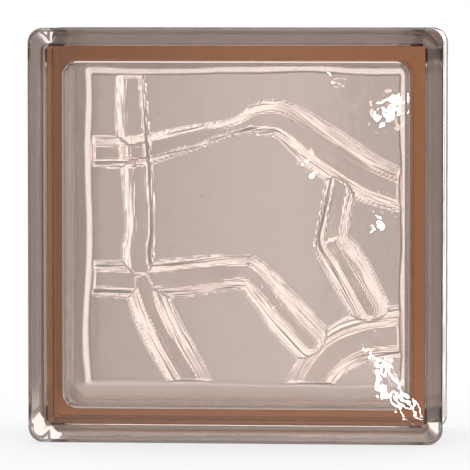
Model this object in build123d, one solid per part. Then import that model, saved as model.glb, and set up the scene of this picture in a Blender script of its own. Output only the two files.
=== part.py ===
"""Glass block: two pressed glass halves, fused rim to rim, with a sealed hollow between them.

Each half is a square dish. Its face plate closes the hollow, a flange runs round the face,
and behind the flange the wall is set in, which leaves a channel for mortar all round the
block. A low bead marks the seam where the two halves were fused. The back half has a
pressed relief on the inside of its face plate: raised ribs with sloped sides that cross
each other.

The block stands on its lower flange. X is the width, Y the depth with the front face
towards -Y, and Z the height. The origin is the middle of the underside.
"""

from build123d import *
import os

# Block
width = 190.0
height = 190.0
depth = 80.0

# Flange round each face
flange_land = 6.0
flange_slope = 3.0
flange_corner = 7.0
face_edge_radius = 2.0

# Mortar channel behind the flange, and the bead at the seam
channel_depth = 8.5
channel_corner = 2.0
channel_root_radius = 2.5
bead_height = 1.5
bead_half_width = 3.0

# Hollow
face_thickness = 8.0
wall_at_face = 6.6
wall_at_seam = 5.5
hollow_corner = 7.0
hollow_root_radius = 6.0

# Ribs of the pressed relief on the back half
rib_height = 2.2
rib_crown = 6.0
rib_root = 1.0
rib_turn = 17.0

half_depth = depth / 2
channel_height = half_depth - flange_land - flange_slope
hollow_depth = half_depth - face_thickness


def outline(inset, corner):
    """The block's square outline, set in by inset, with rounded corners."""
    return RectangleRounded(width - 2 * inset, height - 2 * inset, corner)


def pressed_blank():
    """One half before the plunger goes in: seam plane at Z = 0, face towards +Z."""
    core = extrude(outline(channel_depth, channel_corner), amount=half_depth)
    bead = extrude(outline(channel_depth - bead_height, channel_corner + bead_height), amount=bead_half_width)
    bead = fillet(bead.faces().sort_by(Axis.Z)[-1].edges(), bead_height * 0.9)

    slope_foot = Plane.XY.offset(channel_height) * outline(channel_depth, channel_corner)
    slope_head = Plane.XY.offset(channel_height + flange_slope) * outline(0, flange_corner)
    slope = loft([slope_foot, slope_head], ruled=True)
    land = extrude(slope_head, amount=flange_land)
    land = fillet(land.faces().sort_by(Axis.Z)[-1].edges(), face_edge_radius)

    blank = core + bead + slope + land
    root = [
        edge
        for edge in blank.edges()
        if abs(edge.bounding_box().min.Z - channel_height) < 0.01
        and abs(edge.bounding_box().max.Z - channel_height) < 0.01
    ]
    return fillet(root, channel_root_radius)


def hollow():
    """The space that the plunger leaves: it narrows a little towards the face plate."""
    mouth = outline(channel_depth + wall_at_seam, hollow_corner)
    floor = Plane.XY.offset(hollow_depth) * outline(channel_depth + wall_at_face, hollow_corner)
    space = loft([mouth, floor], ruled=True)
    return fillet(space.faces().sort_by(Axis.Z)[-1].edges(), hollow_root_radius)


def rib(points, foot):
    """One rib of the relief along a path on the hollow's floor, foot wide where it rises."""
    path = FilletPolyline(*[(x, y, hollow_depth) for x, y in points], radius=rib_turn)
    start = path @ 0
    along = path % 0
    section_plane = Plane(origin=start, x_dir=Vector(0, 0, 1).cross(along), z_dir=along)
    section = Polyline(
        (-foot / 2, rib_root),
        (-foot / 2, 0),
        (-rib_crown / 2, -rib_height),
        (rib_crown / 2, -rib_height),
        (foot / 2, 0),
        (foot / 2, rib_root),
        close=True,
    )
    return sweep(section_plane * make_face(section), path=path)


# Ribs seen from the front, foot width and path, X to the right and Y up from the middle of the face
reach = width / 2
rib_paths = {
    "upper_crossing": (22.0, [(-reach, 35), (-48, 36), (-6, 47.5), (12.5, 52), (29, 43), (55, 25), (reach, 12)]),
    "left_upright": (18.5, [(-54, reach), (-50.5, 25), (-51, -25), (-14, -reach)]),
    "middle_crossing": (20.0, [(-reach, -24), (-24.5, -23), (-0.5, -20), (31, -52)]),
    "right_upright": (18.5, [(46, 23), (40.5, -0.5), (58.5, -38)]),
    "corner_crossing": (25.0, [(reach, -46.5), (49.5, -55.5), (17, -reach)]),
}


def pressed_half(ribs):
    """One half, seam plane at Z = 0. The plunger that makes its hollow has a groove for each rib."""
    plunger = hollow()
    for foot, points in ribs:
        plunger -= rib(points, foot)
    return pressed_blank() - plunger


def mirrored(points):
    """The back half is looked at from inside, so its own X runs the other way."""
    return [(-x, y) for x, y in points]


middle = (0, 0, height / 2)
front_plane = Plane(origin=middle, x_dir=(1, 0, 0), z_dir=(0, -1, 0))
back_plane = Plane(origin=middle, x_dir=(-1, 0, 0), z_dir=(0, 1, 0))

front_half = front_plane * pressed_half([])
back_half = back_plane * pressed_half([(foot, mirrored(points)) for foot, points in rib_paths.values()])

os.makedirs("parts", exist_ok=True)
for name, solid in {"front_half": front_half, "back_half": back_half}.items():
    export_step(solid, f"parts/{name}.step")
    print(name, "volume in cubic centimetres", round(solid.volume / 1000, 1))
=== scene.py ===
import logging
import math
from dataclasses import dataclass, field
from enum import Enum

import bmesh
import bpy
import numpy as np
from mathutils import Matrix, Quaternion, Vector, noise


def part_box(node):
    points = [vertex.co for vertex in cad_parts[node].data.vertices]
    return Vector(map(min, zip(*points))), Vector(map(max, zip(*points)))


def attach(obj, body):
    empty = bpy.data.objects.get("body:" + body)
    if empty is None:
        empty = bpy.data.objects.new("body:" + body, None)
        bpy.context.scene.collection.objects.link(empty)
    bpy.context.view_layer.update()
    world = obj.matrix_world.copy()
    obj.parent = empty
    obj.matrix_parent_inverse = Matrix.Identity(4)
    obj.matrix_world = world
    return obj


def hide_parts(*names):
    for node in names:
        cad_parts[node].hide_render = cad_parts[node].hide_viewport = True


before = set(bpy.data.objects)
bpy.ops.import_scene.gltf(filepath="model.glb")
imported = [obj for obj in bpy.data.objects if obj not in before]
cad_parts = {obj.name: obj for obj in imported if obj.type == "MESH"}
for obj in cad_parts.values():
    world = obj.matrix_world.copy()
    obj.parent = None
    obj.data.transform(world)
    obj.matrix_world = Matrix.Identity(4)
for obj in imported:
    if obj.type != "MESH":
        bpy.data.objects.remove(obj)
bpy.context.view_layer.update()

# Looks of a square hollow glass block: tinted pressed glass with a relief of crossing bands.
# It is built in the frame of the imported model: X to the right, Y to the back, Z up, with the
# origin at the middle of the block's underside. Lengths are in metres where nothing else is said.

log = logging.getLogger("glass_block")
logging.basicConfig(level=logging.INFO, format="%(message)s")

MM = 0.001

Pair = tuple[float, float]
Triple = tuple[float, float, float]
Stops = tuple[Pair, ...]
Socket = bpy.types.NodeSocket
Feed = dict[str | int, Socket | float | tuple[float, ...]]
Setting = str | bpy.types.NodeTree


def within(value: float) -> float:
    """The value, held between 0 and 1."""
    return min(1.0, max(0.0, value))


class Wiring:
    """Adds nodes to one node tree and links them."""

    def __init__(self, tree: bpy.types.NodeTree) -> None:
        """Keeps the tree."""
        self.tree = tree

    def feed(self, node: bpy.types.Node, values: Feed) -> None:
        """Links or sets inputs of a node.

        Args:
            node: the node.
            values: an output to link or a value to set, for each input by name or number.
        """
        for name, value in values.items():
            if isinstance(value, bpy.types.NodeSocket):
                self.tree.links.new(value, node.inputs[name])
            else:
                node.inputs[name].default_value = value

    def add(self, kind: str, values: Feed | None = None, **settings: Setting) -> bpy.types.Node:
        """Adds a node.

        Args:
            kind: the node's type.
            values: what its inputs are given, as in feed.
            settings: properties of the node by name.

        Returns:
            The new node.
        """
        node = self.tree.nodes.new(kind)
        for name, value in settings.items():
            setattr(node, name, value)
        self.feed(node, values or {})
        return node

    def maths(self, operation: str, a: Socket, b: Socket | float = 0.0) -> Socket:
        """One step of arithmetic.

        Args:
            operation: its name.
            a: the first value.
            b: the second value, where it takes one.

        Returns:
            The result.
        """
        return self.add("ShaderNodeMath", {0: a, 1: b}, operation=operation).outputs[0]

    def weighted(self, terms: list[tuple[Socket, float]]) -> Socket:
        """Adds up values, each times its weight.

        Args:
            terms: pairs of value and weight.

        Returns:
            The sum.
        """
        products = [self.maths("MULTIPLY", value, weight) for value, weight in terms]
        total = products[0]
        for product in products[1:]:
            total = self.maths("ADD", total, product)
        return total

    def noise(self, place: Socket, scale: Triple, detail: float = 1.0) -> Socket:
        """Noise in a coordinate that is scaled apart along each axis.

        Args:
            place: the coordinate.
            scale: waves in each unit along X, Y and Z.
            detail: how many finer layers are added.

        Returns:
            The noise, 0 to 1.
        """
        scaled = self.add("ShaderNodeVectorMath", {0: place, 1: scale}, operation="MULTIPLY").outputs[0]
        values = {"Vector": scaled, "Scale": 1.0, "Detail": detail}
        return self.add("ShaderNodeTexNoise", values).outputs["Fac"]

    def mapped(
        self, value: Socket, source: Pair = (0, 1), target: Pair = (0, 1), run: str = "LINEAR"
    ) -> Socket:
        """Carries a value from one range to another and holds it there.

        Args:
            value: the value to carry.
            source: where its own range starts and ends.
            target: where the new range starts and ends.
            run: how it goes from end to end.

        Returns:
            The carried value.
        """
        ends = zip(("From Min", "From Max", "To Min", "To Max"), (*source, *target))
        node = self.add("ShaderNodeMapRange", {"Value": value, **dict(ends)}, interpolation_type=run)
        return node.outputs["Result"]

    def towards(self, direction: Socket, axis: Vector) -> Socket:
        """Measures how far a direction points along an axis.

        Args:
            direction: the direction.
            axis: the axis, as a unit vector.

        Returns:
            The measure, -1 to 1.
        """
        dot = self.add("ShaderNodeVectorMath", {0: direction, 1: axis}, operation="DOT_PRODUCT")
        return dot.outputs["Value"]

    def curve(self, angle: Socket, stops: Stops) -> Socket:
        """Makes a strength that follows an angle.

        Args:
            angle: the angle, in radians.
            stops: pairs of degrees and strength.

        Returns:
            The strength.
        """
        low, high = stops[0][0], stops[-1][0]
        ceiling = float(max(strength for _, strength in stops))
        share = self.mapped(angle, (math.radians(low), math.radians(high)))
        ramp = self.add("ShaderNodeValToRGB", {"Fac": share})
        for degrees, _ in stops[1:-1]:
            ramp.color_ramp.elements.new((degrees - low) / (high - low))
        for element, (degrees, strength) in zip(ramp.color_ramp.elements, stops):
            element.position = (degrees - low) / (high - low)
            element.color = (strength / ceiling, strength / ceiling, strength / ceiling, 1)
        return self.maths("MULTIPLY", ramp.outputs["Color"], ceiling)


class Half(Enum):
    """The two pressed halves, with the sign of their Y."""

    FRONT = -1.0
    BACK = 1.0


@dataclass(frozen=True)
class BlockSizes:
    """Sizes of the pressed halves.

    They are the solid model's own, but for the land's inner edge and the bead's foot, which are
    rounded here, and the root of the front hollow, which is sharper.
    """

    half_width: float
    half_depth: float
    middle_height: float
    flange_land: float = 6.0 * MM
    flange_slope: float = 3.0 * MM
    flange_corner: float = 7.0 * MM
    face_edge_radius: float = 2.0 * MM
    land_edge_radius: float = 0.8 * MM
    channel_depth: float = 8.5 * MM
    channel_corner: float = 2.0 * MM
    channel_root_radius: float = 2.5 * MM
    bead_height: float = 1.5 * MM
    bead_half_width: float = 3.0 * MM
    bead_foot_radius: float = 0.5 * MM
    bead_crest_share: float = 0.9
    face_thickness: float = 8.0 * MM
    wall_at_face: float = 6.6 * MM
    wall_at_seam: float = 5.5 * MM
    hollow_corner: float = 7.0 * MM
    hollow_root_radius: float = 6.0 * MM
    front_root_radius: float = 2.5 * MM

    def channel_floor(self) -> float:
        """Reach of the mortar channel's floor from the middle of the block."""
        return self.half_width - self.channel_depth

    def slope_head(self) -> float:
        """Depth from the seam at which the flange's slope meets its land."""
        return self.half_depth - self.flange_land

    def slope_foot(self) -> float:
        """Depth from the seam at which the flange's slope meets the channel's floor."""
        return self.slope_head() - self.flange_slope

    def hollow_depth(self) -> float:
        """Depth of the hollow's floor from the seam."""
        return self.half_depth - self.face_thickness

    def hollow_foot(self) -> float:
        """Reach of the hollow's wall where it meets the hollow's floor."""
        return self.channel_floor() - self.wall_at_face

    def wall_end(self) -> float:
        """Depth from the seam at which the back hollow's wall starts to turn into its floor."""
        return self.hollow_depth() - self.hollow_root_radius


@dataclass(frozen=True)
class SectionPoint:
    """A corner of a half's section: reach from the middle, depth from the seam, plan corner and fillet."""

    reach: float
    depth: float
    corner: float
    fillet: float = 0.0


Section = list[SectionPoint]


def filleted_section(points: Section, steps: int = 6, hold: float = 0.1 * MM) -> Section:
    """Rounds a section's corners and adds a point beside each arc, which keeps the flats flat.

    Args:
        points: the section's corners in order, the first and last without a fillet.
        steps: segments in each arc.
        hold: distance from an arc's end to the point beside it.

    Returns:
        The section as a list of points without fillets.
    """
    done: Section = [points[0]]
    for before, here, after in zip(points, points[1:], points[2:]):
        middle = np.array((here.reach, here.depth))
        arm_in = np.array((before.reach, before.depth)) - middle
        arm_out = np.array((after.reach, after.depth)) - middle
        unit_in = arm_in / np.linalg.norm(arm_in)
        unit_out = arm_out / np.linalg.norm(arm_out)
        inside = math.acos(max(-1.0, min(1.0, float(unit_in @ unit_out))))
        tangent = here.fillet / math.tan(inside / 2)
        bisector = unit_in + unit_out
        centre = middle + bisector / np.linalg.norm(bisector) * here.fillet / math.sin(inside / 2)
        first = middle + unit_in * tangent - centre
        last = middle + unit_out * tangent - centre
        turn = math.pi - inside
        done.append(SectionPoint(*(middle + unit_in * (tangent + hold)), here.corner))
        for step in range(steps + 1):
            share = step / steps
            spoke = first * math.sin((1 - share) * turn) + last * math.sin(share * turn)
            done.append(SectionPoint(*(centre + spoke / math.sin(turn)), here.corner))
        done.append(SectionPoint(*(middle + unit_out * (tangent + hold)), here.corner))
    done.append(points[-1])
    return done


def divided_section(points: Section, spacing: float) -> Section:
    """Adds points to a section where two of them lie far apart in depth.

    Args:
        points: the section.
        spacing: the most that two neighbours may lie apart in depth.

    Returns:
        The section with the added points.
    """
    done: Section = [points[0]]
    for a, b in zip(points, points[1:]):
        pieces = max(1, math.ceil(abs(b.depth - a.depth) / spacing))
        for piece in range(1, pieces + 1):
            share = piece / pieces
            reach = a.reach + (b.reach - a.reach) * share
            done.append(SectionPoint(reach, a.depth + (b.depth - a.depth) * share, b.corner))
    return done


def round_corners(points: np.ndarray, reach: float, corner: float) -> np.ndarray:
    """Moves the points in each corner of a square so that the square's corner becomes an arc.

    Args:
        points: pairs of X and Z within the square.
        reach: half the width of the square.
        corner: radius of the arc.

    Returns:
        The moved points.
    """
    flat = reach - corner
    beyond = np.clip((np.abs(points) - flat) / corner, 0.0, 1.0)
    pulled = beyond * np.sqrt(1.0 - beyond[:, ::-1] ** 2 / 2.0)
    inner = np.minimum(np.abs(points), flat)
    return np.sign(points) * (inner + pulled * corner)


def grid_outline(reach: float, corner: float, cells: int) -> np.ndarray:
    """Points round a rounded square, spread as the edge of a grid of that many cells is.

    Args:
        reach: half the width of the square.
        corner: radius of its corners.
        cells: grid cells along one side.

    Returns:
        An array of 4 * cells pairs of X and Z, anticlockwise seen from the front.
    """
    run = np.linspace(-1.0, 1.0, cells + 1)[:-1]
    one = np.ones(cells)
    sides = ((run, -one), (one, run), (-run, one), (-one, -run))
    edge = np.concatenate([np.stack(side, axis=1) for side in sides])
    return round_corners(edge * reach, reach, corner)


def arc_outline(
    reach: float, corner: float, steps: int = 12, hold: float = 0.2 * MM, runs: int = 24
) -> np.ndarray:
    """Points round a rounded square: an arc at each corner, a point beside each end and a divided side.

    Args:
        reach: half the width of the square.
        corner: radius of its corners.
        steps: segments in each corner's arc.
        hold: distance from an arc's end to the point beside it.
        runs: parts of each straight side.

    Returns:
        Pairs of X and Z, anticlockwise seen from the front.
    """
    centre = reach - corner
    points: list[Pair] = []
    for quarter in range(4):
        base = math.pi / 2 * (quarter - 1)
        cx = centre * (1 if quarter in (0, 1) else -1)
        cz = centre * (1 if quarter in (1, 2) else -1)
        ux, uz = math.cos(base), math.sin(base)
        points.append((cx + corner * ux + hold * uz, cz + corner * uz - hold * ux))
        for step in range(steps + 1):
            angle = base + math.pi / 2 * step / steps
            points.append((cx + corner * math.cos(angle), cz + corner * math.sin(angle)))
        side = 2 * centre
        for run in range(runs):
            gone = hold + (side - 2 * hold) * run / runs
            points.append((cx - corner * uz - gone * ux, cz + corner * ux - gone * uz))
    return np.array(points)


@dataclass(frozen=True)
class Waves:
    """How pressed glass strays from true. Rates are waves in a metre.

    A lead is the distance over which the waves of a flat grow from nothing at its edge. The grip
    says how closely the wandering keeps to the edge of the floor, and the slice picks its pattern.
    """

    channel_amount: float = 0.16 * MM
    channel_lead: float = 3.0 * MM
    wall_amount: float = 0.22 * MM
    wall_lead: float = 4.0 * MM
    rate_along: float = 9.0
    rate_deep: float = 110.0
    wander_amount: float = 2.2 * MM
    wander_rate: float = 28.0
    wander_slice: float = 7.3
    wander_grip: int = 10

    def pushed(self, plan: np.ndarray, depth: float, amount: float) -> np.ndarray:
        """Pushes a loop's points in or out by slow waves along the edge and quick ones in depth.

        Args:
            plan: pairs of X and Z.
            depth: the loop's Y.
            amount: the most that a wave moves a point.

        Returns:
            The moved pairs.
        """
        rate, level = self.rate_along, depth * self.rate_deep
        shifts = [noise.noise(Vector((x * rate, level, z * rate))) for x, z in plan]
        return plan * (1.0 + amount / np.abs(plan).max() * np.array(shifts))[:, None]

    def wandered(self, plan: np.ndarray, reach: float, deep: float) -> np.ndarray:
        """Lets points near the edge of the back floor wander in or out.

        Args:
            plan: pairs of X and Z.
            reach: half the width of the floor.
            deep: share of the wandering that the points' depth allows, 0 to 1.

        Returns:
            The moved pairs.
        """
        near = np.clip(np.abs(plan).max(axis=1) / reach, 0.0, 1.0) ** self.wander_grip
        rate = self.wander_rate
        shifts = np.array([noise.noise(Vector((x * rate, self.wander_slice, z * rate))) for x, z in plan])
        return plan * (1.0 + self.wander_amount * deep * near * shifts / reach)[:, None]


class Lay(Enum):
    """How a band of the relief meets those before it."""

    OVER = "adds its height to theirs"
    FLUSH = "runs into them at the greater height"


@dataclass
class BandField:
    """Height of the relief and place on its bands at each of many points, in millimetres."""

    rise: np.ndarray
    across: np.ndarray
    along: np.ndarray


def soft_ramp(t: np.ndarray, soften: float) -> np.ndarray:
    """A ramp from 0 to 1 that is straight in the middle and rounded at both ends.

    Args:
        t: place along the ramp, 0 to 1.
        soften: share of the ramp that each rounded end takes, up to 0.5.

    Returns:
        The ramp's height at each place.
    """
    slope = 1.0 / (1.0 - soften)
    low = slope * t**2 / (2 * soften)
    high = 1.0 - slope * (1.0 - t) ** 2 / (2 * soften)
    straight = slope * (t - soften / 2)
    return np.where(t < soften, low, np.where(t > 1.0 - soften, high, straight))


@dataclass(frozen=True)
class Band:
    """A raised band of the relief: a flat crown between two sloped sides, along a path.

    Each station is X, Z and, left and right of the way the path runs, the half-width of the
    crown and of the foot: (x, z, left crown, left foot, right crown, right foot), in millimetres,
    with X and Z from the middle of the face as seen from the front.
    """

    name: str
    stations: tuple[tuple[float, float, float, float, float, float], ...]
    lay: Lay = Lay.FLUSH
    side_slope: float = 0.3
    narrowest_side: float = 0.2
    soften: float = 0.2

    def line(self, spacing: float = 1.0) -> np.ndarray:
        """Joins the stations by a smooth curve.

        Args:
            spacing: about how far apart the curve's points lie, in millimetres.

        Returns:
            A row like a station for each point of the curve.
        """
        table = np.array(self.stations, dtype=float)
        padded = np.vstack([2 * table[0] - table[1], table, 2 * table[-1] - table[-2]])
        rows: list[np.ndarray] = []
        for k in range(1, len(padded) - 2):
            p0, p1, p2, p3 = padded[k - 1 : k + 3]
            count = max(2, int(np.linalg.norm(p2[:2] - p1[:2]) / spacing))
            for t in np.linspace(0.0, 1.0, count, endpoint=False):
                linear = (p2 - p0) * t
                square = (2 * p0 - 5 * p1 + 4 * p2 - p3) * t**2
                cube = (3 * p1 - p0 - 3 * p2 + p3) * t**3
                rows.append(0.5 * (2 * p1 + linear + square + cube))
        rows.append(table[-1])
        return np.array(rows)

    def sample(self, x: np.ndarray, z: np.ndarray) -> BandField:
        """Finds the band's height, and the place on it, at each point.

        Args:
            x: X of the points, in millimetres from the middle of the face.
            z: their Z, likewise.

        Returns:
            What the band gives each point.
        """
        line = self.line()
        best = np.full(x.shape, np.inf)
        signed = np.zeros(x.shape)
        along_path = np.zeros(x.shape)
        widths = np.zeros(x.shape + (4,))
        run = 0.0
        for a, b in zip(line, line[1:]):
            along = b[:2] - a[:2]
            length = float(np.linalg.norm(along))
            along = along / length
            px, pz = x - a[0], z - a[1]
            reach = px * along[0] + pz * along[1]
            across = along[0] * pz - along[1] * px
            share = np.clip(reach / length, 0.0, 1.0)
            gap = np.hypot(across, reach - share * length)
            nearer = gap < best
            best = np.where(nearer, gap, best)
            signed = np.where(nearer, np.where(across >= 0, gap, -gap), signed)
            along_path = np.where(nearer, run + share * length, along_path)
            mixed = a[2:] + (b[2:] - a[2:]) * share[..., None]
            widths = np.where(nearer[..., None], mixed, widths)
            run += length
        left = signed >= 0
        crown = np.where(left, widths[..., 0], widths[..., 2])
        foot = np.where(left, widths[..., 1], widths[..., 3])
        side = np.maximum(foot - crown, self.narrowest_side)
        ramp = np.clip((np.abs(signed) - crown) / side, 0.0, 1.0)
        height = self.side_slope * (widths[..., 1] - widths[..., 0] + widths[..., 3] - widths[..., 2]) / 2
        return BandField(height * (1.0 - soft_ramp(ramp, self.soften)), signed, along_path)


@dataclass(frozen=True)
class Relief:
    """The crossing bands on the hollow's back floor.

    The place along each band starts streak_shift millimetres further on than along the one before
    it, so that no two bands have the same streaks. A band counts from the height lowest upwards.
    """

    streak_shift: float = 400.0
    lowest: float = 1e-6
    bands: tuple[Band, ...] = (
        Band("upper_crossing", (
            (-77.7, 36.3, 2.3, 7.4, 2.8, 6.4), (-53.5, 36.3, 2.3, 7.4, 2.8, 7.4),
            (-28.4, 41.8, 1.8, 6.4, 2.8, 5.5), (-6, 47.5, 0.9, 4.6, 0.9, 2.8),
            (7, 51.6, 2.8, 7.8, 2.8, 7.4), (18.1, 50.7, 2.8, 9.2, 3.7, 8.3),
            (36.7, 37.2, 3.7, 12, 3.7, 11.1), (57.2, 24.2, 3.7, 11.1, 3.7, 11.1),
            (75.7, 16.8, 3.7, 10.1, 3.7, 9.2),
        )),
        Band("left_upright", (
            (-54.4, 80, 2.8, 5.5, 2.8, 6.4), (-52.6, 52.1, 3.7, 5.5, 3.7, 9.2),
            (-50.7, 33.5, 2.8, 5.5, 3.7, 9.2), (-49.8, 1.9, 2.8, 6, 2.8, 7.4),
            (-50.7, -16.7, 2.8, 7.4, 2.8, 8.3), (-42.3, -43.7, 1.8, 10.1, 1.8, 10.1),
            (-24.6, -75.3, 2.8, 9.2, 2.8, 9.2),
        ), Lay.OVER),
        Band("middle_crossing", (
            (-77.7, -24.2, 2.8, 9.2, 3.7, 7.4), (-50.7, -25.1, 3.2, 9.2, 2.8, 8.3),
            (-24.6, -22.8, 3.2, 9.2, 3.2, 9.2), (-3.3, -20.5, 3.2, 8.3, 3.2, 8.3),
            (5.1, -24.2, 2.8, 8.3, 2.8, 8.3), (18.1, -39.9, 1.8, 10.1, 1.8, 10.1),
            (31.1, -53.9, 1.8, 10.1, 1.8, 10.1),
        )),
        Band("right_upright", (
            (46.1, 24.2, 2.8, 6.4, 2.8, 8.3), (40.4, -0.9, 3.7, 8.3, 2.8, 6.4),
            (40.8, -7.4, 2.8, 9.2, 2.8, 8.3), (47.5, -17.6, 1.8, 10.1, 1.8, 10.1),
            (59, -38.1, 1.8, 9.2, 1.8, 9.2),
        )),
        Band("corner_crossing", (
            (75.7, -50.2, 4.1, 11.1, 4.1, 14.7), (56.3, -53, 3.7, 10.1, 3.7, 13.8),
            (44.1, -58.5, 3.7, 10.1, 3.7, 12.9), (36.7, -66, 3.7, 9.2, 3.7, 12.9),
            (31.1, -76.2, 3.7, 9.2, 3.7, 12.9),
        )),
    )

    def sample(self, x: np.ndarray, z: np.ndarray) -> BandField:
        """Puts the bands together.

        Args:
            x: X of the points, in millimetres from the middle of the face.
            z: their Z, likewise.

        Returns:
            The height, and the place on the band that stands highest, at each point.
        """
        whole = BandField(np.zeros(x.shape), np.zeros(x.shape), np.zeros(x.shape))
        highest = np.full(x.shape, self.lowest)
        for number, band in enumerate(self.bands):
            one = band.sample(x, z)
            whole.rise = whole.rise + one.rise if band.lay is Lay.OVER else np.maximum(whole.rise, one.rise)
            leads = one.rise > highest
            whole.across = np.where(leads, one.across, whole.across)
            whole.along = np.where(leads, one.along + self.streak_shift * number, whole.along)
            highest = np.maximum(highest, one.rise)
        return whole


class Mask(Enum):
    """Point attributes that tell the glass's material where it is."""

    STEEP = "steep"
    SIDE = "side"
    WALL = "wall"
    ACROSS = "across"
    ALONG = "along"


@dataclass(frozen=True)
class TintedGlass:
    """Pressed glass with a bronze tint, which shows where light runs a long way through it.

    Streaks are the tool marks on the sloped sides of the relief, and drag lines those of the mould
    on the walls. Scales are waves in a metre, but in a millimetre for the streaks. The volume's
    density is density_share times the greatest absorption in a metre, which keeps each channel of
    its colour above 0.
    """

    name: str = "tinted_glass"
    refraction: float = 1.52
    surface_tint: Triple = (0.785, 0.77, 0.79)
    absorbed: Triple = (12.0, 22.5, 31.5)
    density_share: float = 1.4
    streak_depth: float = 0.55 * MM
    streak_scale: Triple = (0.55, 0.03, 1.0)
    drag_depth: float = 0.25 * MM
    drag_scale: Triple = (22.0, 420.0, 22.0)
    wave_depth: float = 0.06 * MM
    wave_scale: Triple = (60.0, 60.0, 60.0)
    ripple_depth: float = 0.022 * MM
    ripple_scale: Triple = (150.0, 150.0, 150.0)
    side_roughness: float = 0.3
    steep_roughness: float = 0.12
    wall_roughness: float = 0.22

    def skin_group(self) -> bpy.types.NodeTree:
        """Makes the node group that gives the glass its surface normal and its roughness.

        Returns:
            The group, with the outputs Normal and Roughness.
        """
        group = bpy.data.node_groups.new("pressed_skin", "ShaderNodeTree")
        group.interface.new_socket("Normal", in_out="OUTPUT", socket_type="NodeSocketVector")
        group.interface.new_socket("Roughness", in_out="OUTPUT", socket_type="NodeSocketFloat")
        wires = Wiring(group)
        masks = {
            mask: wires.add("ShaderNodeAttribute", attribute_name=mask.value).outputs["Fac"] for mask in Mask
        }
        place = wires.add("ShaderNodeTexCoord").outputs["Object"]
        on_band = wires.add("ShaderNodeCombineXYZ", {"X": masks[Mask.ACROSS], "Y": masks[Mask.ALONG]})
        streaks = wires.noise(on_band.outputs[0], self.streak_scale)
        drag = wires.noise(place, self.drag_scale)
        sides = wires.maths("ADD", masks[Mask.SIDE], masks[Mask.WALL])
        height = wires.weighted([
            (wires.maths("MULTIPLY", streaks, masks[Mask.STEEP]), self.streak_depth),
            (wires.maths("MULTIPLY", drag, sides), self.drag_depth),
            (wires.noise(place, self.wave_scale), self.wave_depth),
            (wires.noise(place, self.ripple_scale), self.ripple_depth),
        ])
        rough = wires.weighted([
            (masks[Mask.SIDE], self.side_roughness),
            (masks[Mask.STEEP], self.steep_roughness),
            (masks[Mask.WALL], self.wall_roughness),
        ])
        bump = wires.add("ShaderNodeBump", {"Distance": 1.0, "Height": height})
        wires.add("NodeGroupOutput", {"Normal": bump.outputs["Normal"], "Roughness": rough})
        return group

    def build(self) -> bpy.types.Material:
        """Makes the material.

        Returns:
            A glass surface round an absorbing volume.
        """
        material = bpy.data.materials.new(self.name)
        material.use_nodes = True
        material.node_tree.nodes.clear()
        wires = Wiring(material.node_tree)
        skin = wires.add("ShaderNodeGroup", node_tree=self.skin_group()).outputs
        glass = wires.add("ShaderNodeBsdfPrincipled", {
            "Base Color": (*self.surface_tint, 1.0),
            "Metallic": 0.0,
            "IOR": self.refraction,
            "Transmission Weight": 1.0,
            "Normal": skin["Normal"],
            "Roughness": skin["Roughness"],
        })
        density = max(self.absorbed) * self.density_share
        kept = [1.0 - share / density for share in self.absorbed]
        inside = wires.add("ShaderNodeVolumeAbsorption", {"Color": (*kept, 1.0), "Density": density})
        ends = {"Surface": glass.outputs["BSDF"], "Volume": inside.outputs["Volume"]}
        wires.add("ShaderNodeOutputMaterial", ends)
        return material


class Skin:
    """A mesh that is built loop by loop, with a value of each mask at every point."""

    def __init__(self) -> None:
        """Starts an empty skin."""
        self.points: list[np.ndarray] = []
        self.faces: list[tuple[int, ...]] = []
        self.masks: dict[Mask, list[np.ndarray]] = {mask: [] for mask in Mask}
        self.count = 0

    def add(self, points: np.ndarray, values: dict[Mask, np.ndarray | float]) -> np.ndarray:
        """Adds points.

        Args:
            points: rows of X, Y and Z.
            values: a value or an array for each mask named, 0 for the others.

        Returns:
            The numbers of the new points.
        """
        self.points.append(points)
        for mask in Mask:
            self.masks[mask].append(np.broadcast_to(values.get(mask, 0.0), len(points)).astype(float))
        numbers = np.arange(self.count, self.count + len(points))
        self.count += len(points)
        return numbers

    def strip(self, a: np.ndarray, b: np.ndarray) -> None:
        """Joins two loops with four-sided faces.

        Args:
            a: numbers of the points of one loop.
            b: numbers of the points of the other, as many.
        """
        a_next, b_next = np.roll(a, -1), np.roll(b, -1)
        self.faces.extend(zip(a.tolist(), a_next.tolist(), b_next.tolist(), b.tolist()))

    def mesh(self, name: str) -> bpy.types.Mesh:
        """Makes the mesh, with smooth shading and its masks as point attributes.

        Args:
            name: name of the mesh.

        Returns:
            The mesh.
        """
        mesh = bpy.data.meshes.new(name)
        mesh.from_pydata(np.concatenate(self.points).tolist(), [], self.faces)
        mesh.update()
        mesh.shade_smooth()
        for mask, values in self.masks.items():
            attribute = mesh.attributes.new(mask.value, "FLOAT", "POINT")
            attribute.data.foreach_set("value", np.concatenate(values))
        return mesh


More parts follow.
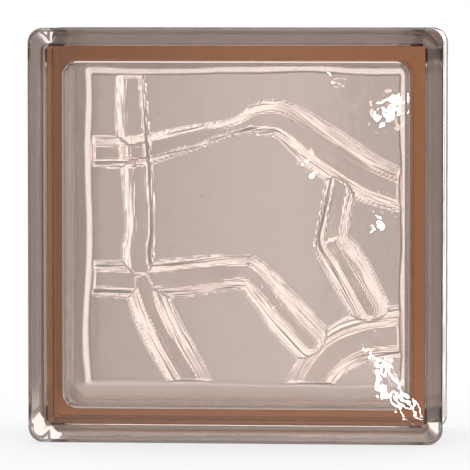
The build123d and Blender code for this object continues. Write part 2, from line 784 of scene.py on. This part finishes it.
@dataclass
class GlassBlock:
    """The fused block as one body of glass: an outer skin and the skin of the sealed hollow.

    Spacings are the most that two loops lie apart in depth. The face lead and the floor lead are
    the width of the flat ring inside an arc. The relief fades out over relief_fade at the floor's
    edge, its streaks are full at full_slope, and root_streaks is their strength on the back root.
    """

    sizes: BlockSizes
    waves: Waves = Waves()
    relief: Relief = Relief()
    cells: int = 184
    outside_spacing: float = 1.2 * MM
    hollow_spacing: float = 2.2 * MM
    face_lead: float = 4.0 * MM
    floor_lead: float = 0.3 * MM
    side_margin: float = 1.0 * MM
    smallest_corner: float = 1.2 * MM
    relief_fade: float = 1.2 * MM
    full_slope: float = 0.3
    root_streaks: float = 2.2
    skin: Skin = field(default_factory=Skin)

    def outer_section(self) -> Section:
        """Draws the outside of one half.

        Returns:
            Its section from the face to the seam.
        """
        s = self.sizes
        crest = s.channel_floor() + s.bead_height
        bead_corner = s.channel_corner + s.bead_height
        section = filleted_section([
            SectionPoint(s.half_width - self.face_lead, s.half_depth, s.flange_corner),
            SectionPoint(s.half_width, s.half_depth, s.flange_corner, s.face_edge_radius),
            SectionPoint(s.half_width, s.slope_head(), s.flange_corner, s.land_edge_radius),
            SectionPoint(s.channel_floor(), s.slope_foot(), s.channel_corner, s.channel_root_radius),
            SectionPoint(s.channel_floor(), s.bead_half_width, s.channel_corner, s.bead_foot_radius),
            SectionPoint(crest, s.bead_half_width, bead_corner, s.bead_crest_share * s.bead_height),
            SectionPoint(crest, 0.0, bead_corner),
        ])
        return divided_section(section, self.outside_spacing)

    def inner_section(self, half: Half) -> Section:
        """Draws the wall of one half's hollow.

        Args:
            half: which half.

        Returns:
            Its section from the seam to the edge of the hollow's floor.
        """
        s = self.sizes
        root = s.front_root_radius if half is Half.FRONT else s.hollow_root_radius
        section = filleted_section([
            SectionPoint(s.channel_floor() - s.wall_at_seam, 0.0, s.hollow_corner),
            SectionPoint(s.hollow_foot(), s.hollow_depth(), s.hollow_corner, root),
            SectionPoint(s.hollow_foot() - root - self.floor_lead, s.hollow_depth(), s.hollow_corner),
        ])
        return divided_section(section, self.hollow_spacing)

    def corner_at(self, point: SectionPoint) -> float:
        """Finds the plan's corner on the outside: edges keep one centre, slopes blend.

        Args:
            point: a point of the outer section.

        Returns:
            Radius of the plan's corner there.
        """
        s = self.sizes
        if point.depth > s.slope_head():
            return s.flange_corner - (s.half_width - point.reach)
        if point.depth > s.slope_foot():
            share = (point.reach - s.channel_floor()) / s.channel_depth
            return s.channel_corner + (s.flange_corner - s.channel_corner) * within(share)
        return s.channel_corner + max(0.0, point.reach - s.channel_floor())

    def hollow_corner_at(self, reach: float) -> float:
        """Radius of the plan's corner at a reach in the hollow, which shrinks as the root closes in."""
        closed = max(0.0, self.sizes.hollow_foot() - reach)
        return max(self.sizes.hollow_corner - closed, self.smallest_corner)

    def on_channel_floor(self, depth: float) -> float:
        """Tells where the flat of the channel's floor is.

        Args:
            depth: distance from the seam.

        Returns:
            1 on the flat and 0 off it, with a soft start and end.
        """
        s = self.sizes
        edge = min(s.slope_foot() - s.channel_root_radius - depth, depth - s.bead_half_width)
        return within(edge / self.waves.channel_lead)

    def on_wall(self, depth: float) -> float:
        """1 at a depth on the flat of the hollow's wall and 0 off it, with a soft end."""
        return within((self.sizes.wall_end() - depth) / self.waves.wall_lead)

    def wandered(self, plan: np.ndarray, depth: float) -> np.ndarray:
        """Lets the points near the back floor's edge wander.

        Args:
            plan: pairs of X and Z.
            depth: their distance from the seam.

        Returns:
            The moved pairs.
        """
        s = self.sizes
        root = s.hollow_root_radius
        deep = within((depth - s.hollow_depth() + 2 * root) / root)
        return self.waves.wandered(plan, s.hollow_foot() - root, deep)

    def add_loop(self, plan: np.ndarray, depth: float, values: dict[Mask, float]) -> np.ndarray:
        """Adds a loop of points at one depth.

        Args:
            plan: pairs of X and Z, with Z from the middle of the block.
            depth: their Y.
            values: a value for each mask named.

        Returns:
            The numbers of the new points.
        """
        depths = np.full(len(plan), depth)
        points = np.column_stack([plan[:, 0], depths, plan[:, 1] + self.sizes.middle_height])
        return self.skin.add(points, values)

    def build_outside(self) -> None:
        """Builds both faces, the flanges and the mortar channel with the seam bead."""
        section = self.outer_section()
        side_end = self.sizes.slope_foot() - self.side_margin
        loops: list[np.ndarray] = []
        for half, points in ((Half.FRONT, section), (Half.BACK, section[-2::-1])):
            for point in points:
                depth = half.value * point.depth
                amount = self.waves.channel_amount * self.on_channel_floor(point.depth)
                plan = self.waves.pushed(arc_outline(point.reach, self.corner_at(point)), depth, amount)
                loops.append(self.add_loop(plan, depth, {Mask.SIDE: float(point.depth < side_end)}))
        for a, b in zip(loops, loops[1:]):
            self.skin.strip(b, a)
        self.skin.faces.append(tuple(loops[0].tolist()))
        self.skin.faces.append(tuple(loops[-1][::-1].tolist()))

    def build_hollow(self) -> None:
        """Builds the walls of the hollow, its plain front floor and its back floor with the relief."""
        front = self.inner_section(Half.FRONT)
        back = self.inner_section(Half.BACK)
        loops: list[np.ndarray] = []
        for half, points in ((Half.FRONT, front[::-1]), (Half.BACK, back[1:])):
            for point in points:
                depth = half.value * point.depth
                plan = grid_outline(point.reach, self.hollow_corner_at(point.reach), self.cells)
                plan = self.waves.pushed(plan, depth, self.waves.wall_amount * self.on_wall(point.depth))
                if half is Half.BACK:
                    plan = self.wandered(plan, point.depth)
                wall = point.depth < self.sizes.wall_end()
                streaks = self.root_streaks if half is Half.BACK and not wall else 0.0
                loops.append(self.add_loop(plan, depth, {Mask.WALL: float(wall), Mask.STEEP: streaks}))
        for a, b in zip(loops, loops[1:]):
            self.skin.strip(a, b)
        self.skin.faces.append(tuple(loops[0][::-1].tolist()))
        self.add_back_floor(back[-1], loops[-1])

    def add_back_floor(self, edge: SectionPoint, rim: np.ndarray) -> None:
        """Fills the back end of the hollow with a grid that carries the relief.

        Args:
            edge: the section's point at the edge of the floor.
            rim: numbers of the points round that edge.
        """
        cells = self.cells
        run = np.linspace(-1.0, 1.0, cells + 1)
        grid_x, grid_z = np.meshgrid(run, run, indexing="xy")
        square = np.stack([grid_x.ravel(), grid_z.ravel()], axis=1) * edge.reach
        plan = round_corners(square, edge.reach, self.hollow_corner_at(edge.reach))
        plan = self.wandered(plan, edge.depth)
        pressed = self.relief.sample(plan[:, 0] / MM, plan[:, 1] / MM)
        fade = np.clip((edge.reach - np.abs(square).max(axis=1)) / self.relief_fade, 0.0, 1.0)
        rise = pressed.rise * MM * fade
        step = 2 * edge.reach / cells
        slope_z, slope_x = np.gradient(rise.reshape(cells + 1, cells + 1), step)
        steep = np.clip(np.hypot(slope_x, slope_z).ravel() / self.full_slope, 0.0, 1.0)
        grid = np.column_stack([plan[:, 0], edge.depth - rise, plan[:, 1] + self.sizes.middle_height])
        inner = np.zeros((cells + 1, cells + 1), dtype=bool)
        inner[1:-1, 1:-1] = True
        chosen = inner.ravel()
        added = self.skin.add(grid[chosen], {
            Mask.STEEP: steep[chosen],
            Mask.ACROSS: pressed.across[chosen],
            Mask.ALONG: pressed.along[chosen],
        })
        numbers = np.full((cells + 1, cells + 1), -1)
        numbers[0, :-1] = rim[:cells]
        numbers[:-1, -1] = rim[cells:2 * cells]
        numbers[-1, :0:-1] = rim[2 * cells:3 * cells]
        numbers[:0:-1, 0] = rim[3 * cells:]
        numbers[1:-1, 1:-1] = added.reshape(cells - 1, cells - 1)
        a, b = numbers[:-1, :-1].ravel(), numbers[:-1, 1:].ravel()
        c, d = numbers[1:, 1:].ravel(), numbers[1:, :-1].ravel()
        self.skin.faces.extend(zip(a.tolist(), b.tolist(), c.tolist(), d.tolist()))

    def build(self, material: bpy.types.Material) -> bpy.types.Object:
        """Joins the skins into one mesh object and gives it the glass.

        Args:
            material: the glass.

        Returns:
            The block.
        """
        self.build_outside()
        self.build_hollow()
        block = bpy.data.objects.new("glass_block", self.skin.mesh("glass_block"))
        bpy.context.scene.collection.objects.link(block)
        block.data.materials.append(material)
        return block


@dataclass(frozen=True)
class Seeds:
    """Small bubbles in the two plates of glass, scattered by Geometry Nodes.

    The density is in bubbles for each square metre of plate.
    """

    sizes: BlockSizes
    density: float = 1300.0
    seed: int = 7
    radius: float = 0.3 * MM
    least_scale: Triple = (0.4, 0.4, 0.4)
    most_scale: Triple = (1.2, 1.0, 1.6)
    margin: float = 16.0 * MM
    segments: int = 12
    rings: int = 8

    def carrier(self) -> bpy.types.Object:
        """Makes a square in the middle of each plate, on which the bubbles are scattered.

        Returns:
            An object with both squares.
        """
        s = self.sizes
        reach = s.half_width - self.margin
        level = s.half_depth - s.face_thickness / 2
        points: list[Triple] = []
        for depth in (-level, level):
            for x, z in ((-reach, -reach), (reach, -reach), (reach, reach), (-reach, reach)):
                points.append((x, depth, z + s.middle_height))
        mesh = bpy.data.meshes.new("seed_carrier")
        mesh.from_pydata(points, [], [(0, 1, 2, 3), (4, 5, 6, 7)])
        holder = bpy.data.objects.new("seed_carrier", mesh)
        bpy.context.scene.collection.objects.link(holder)
        return holder

    def tree(self) -> tuple[bpy.types.NodeTree, dict[str, str]]:
        """Makes the node tree that scatters the bubbles, with their faces turned inwards.

        Returns:
            The tree, and the identifier of each of its inputs by name.
        """
        tree = bpy.data.node_groups.new("scattered_seeds", "GeometryNodeTree")
        names = ("Geometry", "Density", "Seed", "Radius", "Material")
        kinds = ("Geometry", "Float", "Int", "Float", "Material")
        identifiers = {
            name: tree.interface.new_socket(name, in_out="INPUT", socket_type=f"NodeSocket{kind}").identifier
            for name, kind in zip(names, kinds)
        }
        tree.interface.new_socket("Geometry", in_out="OUTPUT", socket_type="NodeSocketGeometry")
        wires = Wiring(tree)
        given = wires.add("NodeGroupInput").outputs
        plates = {"Mesh": given["Geometry"], "Density": given["Density"], "Seed": given["Seed"]}
        spread = wires.add("GeometryNodeDistributePointsOnFaces", plates)
        fineness = {"Segments": self.segments, "Rings": self.rings, "Radius": given["Radius"]}
        bubble = wires.add("GeometryNodeMeshUVSphere", fineness)
        turned = wires.add("GeometryNodeFlipFaces", {"Mesh": bubble.outputs["Mesh"]})
        smooth = wires.add("GeometryNodeSetShadeSmooth", {"Geometry": turned.outputs["Mesh"]})
        scales = {"Min": self.least_scale, "Max": self.most_scale, "Seed": given["Seed"]}
        scale = wires.add("FunctionNodeRandomValue", scales, data_type="FLOAT_VECTOR")
        placed = wires.add("GeometryNodeInstanceOnPoints", {
            "Points": spread.outputs["Points"],
            "Instance": smooth.outputs["Geometry"],
            "Scale": scale.outputs["Value"],
        })
        real = wires.add("GeometryNodeRealizeInstances", {"Geometry": placed.outputs["Instances"]})
        dress = {"Geometry": real.outputs["Geometry"], "Material": given["Material"]}
        dressed = wires.add("GeometryNodeSetMaterial", dress)
        wires.add("NodeGroupOutput", {"Geometry": dressed.outputs["Geometry"]})
        return tree, identifiers

    def build(self, material: bpy.types.Material) -> bpy.types.Mesh:
        """Scatters the bubbles.

        Args:
            material: the glass round the bubbles.

        Returns:
            One plain mesh of all the bubbles.
        """
        tree, identifiers = self.tree()
        values = {"Density": self.density, "Seed": self.seed, "Radius": self.radius, "Material": material}
        holder = self.carrier()
        modifier = holder.modifiers.new("seeds", "NODES")
        modifier.node_group = tree
        for name, value in values.items():
            modifier[identifiers[name]] = value
        depsgraph = bpy.context.evaluated_depsgraph_get()
        mesh = bpy.data.meshes.new_from_object(holder.evaluated_get(depsgraph))
        bpy.data.objects.remove(holder)
        return mesh

    def join(self, block: bpy.types.Object, bubbles: bpy.types.Mesh) -> None:
        """Adds the bubbles to the block's own mesh, as holes in its glass.

        Args:
            block: the block.
            bubbles: the mesh of all the bubbles.
        """
        work = bmesh.new()
        work.from_mesh(block.data)
        work.from_mesh(bubbles)
        work.to_mesh(block.data)
        work.free()


@dataclass(frozen=True)
class View:
    """Where the camera stands and what it aims at. Its lens and sensor are in millimetres."""

    place: Triple = (0.152, -1.94, 0.2)
    aim: Triple = (0.0003, -0.04, 0.0957)
    lens: float = 320.8
    sensor: float = 36.0
    nearest: float = 0.01

    def axes(self) -> tuple[Vector, Vector, Vector]:
        """Finds the camera's axes.

        Returns:
            Unit vectors to its right, upwards and ahead.
        """
        ahead = (Vector(self.aim) - Vector(self.place)).normalized()
        right = ahead.cross(Vector((0.0, 0.0, 1.0))).normalized()
        return right, right.cross(ahead), ahead

    def build(self) -> None:
        """Sets up the camera and makes it the scene's own."""
        camera = bpy.data.cameras.new("camera")
        camera.lens = self.lens
        camera.sensor_width = self.sensor
        camera.clip_start = self.nearest
        holder = bpy.data.objects.new("camera", camera)
        bpy.context.scene.collection.objects.link(holder)
        holder.location = self.place
        holder.rotation_euler = self.axes()[2].to_track_quat("-Z", "Y").to_euler()
        bpy.context.scene.camera = holder


@dataclass(frozen=True)
class SoftRoom:
    """The room's soft light: a white screen straight behind, brighter bands round it, darker sides.

    The stops of the ring and of the falloff are pairs of degrees from the view's axis and strength.
    Reflections of the room's front see it at front_level. The overhead light starts and is full
    where a direction's upward part has the two values of overhead_edge.
    """

    view: View
    ring: Stops = (
        (0, 1), (3.4, 1), (4.4, 3), (5.9, 3), (6.6, 1), (7.4, 1), (8, 2.4),
        (11.5, 2.4), (13, 0.8), (15.5, 0.5), (30, 0.6), (60, 0.6), (90, 0.6),
    )
    falloff: Stops = ((-90, 1), (-4.4, 1), (-3.4, 0.65), (-2.4, 0.65), (0.3, 1), (90, 1))
    front_level: float = 0.2
    overhead: float = 2.5
    overhead_edge: Pair = (0.75, 0.95)

    def build(self) -> None:
        """Makes the world, which is plain white where the camera sees it directly."""
        world = bpy.data.worlds.new("soft_room")
        bpy.context.scene.world = world
        world.use_nodes = True
        world.node_tree.nodes.clear()
        wires = Wiring(world.node_tree)
        direction = wires.add("ShaderNodeTexCoord").outputs["Generated"]
        rightwards, upwards, depth = (wires.towards(direction, axis) for axis in self.view.axes())
        flat_depth = wires.maths("ABSOLUTE", depth)
        aside = wires.maths("MAXIMUM", wires.maths("ABSOLUTE", rightwards), wires.maths("ABSOLUTE", upwards))
        strength = wires.curve(wires.maths("ARCTAN2", aside, flat_depth), self.ring)
        sideways = wires.curve(wires.maths("ARCTAN2", rightwards, flat_depth), self.falloff)
        strength = wires.maths("MULTIPLY", strength, sideways)
        ray = wires.add("ShaderNodeLightPath").outputs
        in_front = wires.maths("LESS_THAN", depth, 0.0)
        reflected = wires.maths("SUBTRACT", in_front, ray["Is Transmission Ray"])
        strength = wires.maths("MULTIPLY", strength, wires.mapped(reflected, target=(1, self.front_level)))
        height = wires.towards(direction, Vector((0.0, 0.0, 1.0)))
        overhead = wires.mapped(height, self.overhead_edge, (0, self.overhead), "SMOOTHSTEP")
        strength = wires.maths("ADD", strength, overhead)
        white = wires.add("ShaderNodeMix", {"Factor": ray["Is Camera Ray"], "A": strength, "B": 1.0})
        light = {"Color": (1, 1, 1, 1), "Strength": white.outputs["Result"]}
        background = wires.add("ShaderNodeBackground", light)
        wires.add("ShaderNodeOutputWorld", {"Surface": background.outputs["Background"]})


@dataclass(frozen=True)
class PaleFloor:
    """A pale round floor, faintly mottled, which fades into the white room."""

    radius: float = 0.4
    corners: int = 96
    colours: Pair = (0.92, 0.95)
    mottle_scale: Triple = (35.0, 35.0, 35.0)
    mottle_detail: float = 4.0
    roughness: float = 0.8
    white_share: float = 0.7
    fade: Pair = (0.12, 0.30)

    def finish(self) -> bpy.types.Material:
        """Makes the floor's material.

        Returns:
            A pale finish, mixed with white where the camera, a reflection or glass shows it.
        """
        material = bpy.data.materials.new("pale_floor")
        material.use_nodes = True
        wires = Wiring(material.node_tree)
        nodes = material.node_tree.nodes
        place = wires.add("ShaderNodeTexCoord").outputs["Object"]
        mottle = wires.noise(place, self.mottle_scale, self.mottle_detail)
        principled = nodes["Principled BSDF"]
        colour = wires.mapped(mottle, target=self.colours)
        wires.feed(principled, {"Base Color": colour, "Roughness": self.roughness})
        ray = wires.add("ShaderNodeLightPath").outputs
        shown = wires.maths("ADD", ray["Is Camera Ray"], ray["Is Transmission Ray"])
        shown = wires.maths("MINIMUM", wires.maths("ADD", shown, ray["Is Glossy Ray"]), 1.0)
        lit = wires.add("ShaderNodeMixShader", {
            "Fac": wires.maths("MULTIPLY", shown, self.white_share),
            1: principled.outputs["BSDF"],
            2: wires.add("ShaderNodeEmission").outputs["Emission"],
        })
        far = wires.add("ShaderNodeVectorMath", {0: place}, operation="LENGTH").outputs["Value"]
        faded = wires.add("ShaderNodeMixShader", {
            "Fac": wires.mapped(far, self.fade, run="SMOOTHSTEP"),
            1: lit.outputs["Shader"],
            2: wires.add("ShaderNodeBsdfTransparent").outputs["BSDF"],
        })
        wires.feed(nodes["Material Output"], {"Surface": faded.outputs["Shader"]})
        return material

    def build(self) -> None:
        """Lays the floor under the block."""
        bpy.ops.mesh.primitive_circle_add(
            vertices=self.corners, radius=self.radius, fill_type="NGON", location=(0, 0, 0)
        )
        floor = bpy.context.object
        floor.name = "floor"
        floor.data.materials.append(self.finish())


@dataclass(frozen=True)
class Lamp:
    """A small bright lamp beside the camera, whose reflection shows at one spot of the face.

    The spot is X and Z in millimetres on the front face, from the middle of its lower edge. The
    size is in millimetres, the turn in degrees, and a brightness of 1 is white.
    """

    name: str
    spot: Pair
    size: Pair
    turn: float = 0.0
    brightness: float = 150.0

    def build(self, view: View) -> None:
        """Hangs the lamp as far to the other side of its spot as the camera is to this one.

        Args:
            view: where the camera is.
        """
        light = bpy.data.lights.new(self.name, "AREA")
        light.shape = "ELLIPSE"
        light.size, light.size_y = (length * MM for length in self.size)
        light.energy = self.brightness * math.pi**2 * light.size * light.size_y / 4
        holder = bpy.data.objects.new(self.name, light)
        bpy.context.scene.collection.objects.link(holder)
        x, y, z = view.place
        holder.location = (2 * self.spot[0] * MM - x, y, 2 * self.spot[1] * MM - z)
        aim = Vector(view.aim) - holder.location
        turned = Quaternion(aim, math.radians(self.turn))
        holder.rotation_euler = (turned @ aim.to_track_quat("-Z", "Y")).to_euler()


LAMPS = (
    Lamp("upper_lamp", (72.0, 153.0), (20.0, 8.0), -40.0, 90.0),
    Lamp("upper_spark", (45.0, 166.0), (9.0, 4.0), 10.0),
    Lamp("middle_spark", (32.0, 127.0), (5.0, 10.0), 30.0),
    Lamp("side_spark", (66.0, 104.0), (6.0, 6.0)),
    Lamp("lower_spark", (17.0, 64.0), (6.0, 5.0)),
    Lamp("lower_lamp", (73.0, 26.0), (76.0, 5.0), 56.0, 80.0),
)


def main() -> None:
    """Builds the block and the studio, and reports each piece."""
    bpy.context.scene.view_settings.view_transform = "Standard"
    low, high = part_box("front_half")
    back_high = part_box("back_half")[1]
    sizes = BlockSizes(
        half_width=(high.x - low.x) / 2,
        half_depth=(back_high.y - low.y) / 2,
        middle_height=(high.z + low.z) / 2,
    )
    glass = TintedGlass().build()
    block = GlassBlock(sizes).build(glass)
    seeds = Seeds(sizes)
    bubbles = seeds.build(glass)
    seeds.join(block, bubbles)
    log.info("seeds: %d faces", len(bubbles.polygons))
    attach(block, "root")
    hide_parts("front_half", "back_half")
    log.info("glass_block: %d faces", len(block.data.polygons))
    view = View()
    view.build()
    SoftRoom(view).build()
    PaleFloor().build()
    for lamp in LAMPS:
        lamp.build(view)


if __name__ == "__main__":
    main()
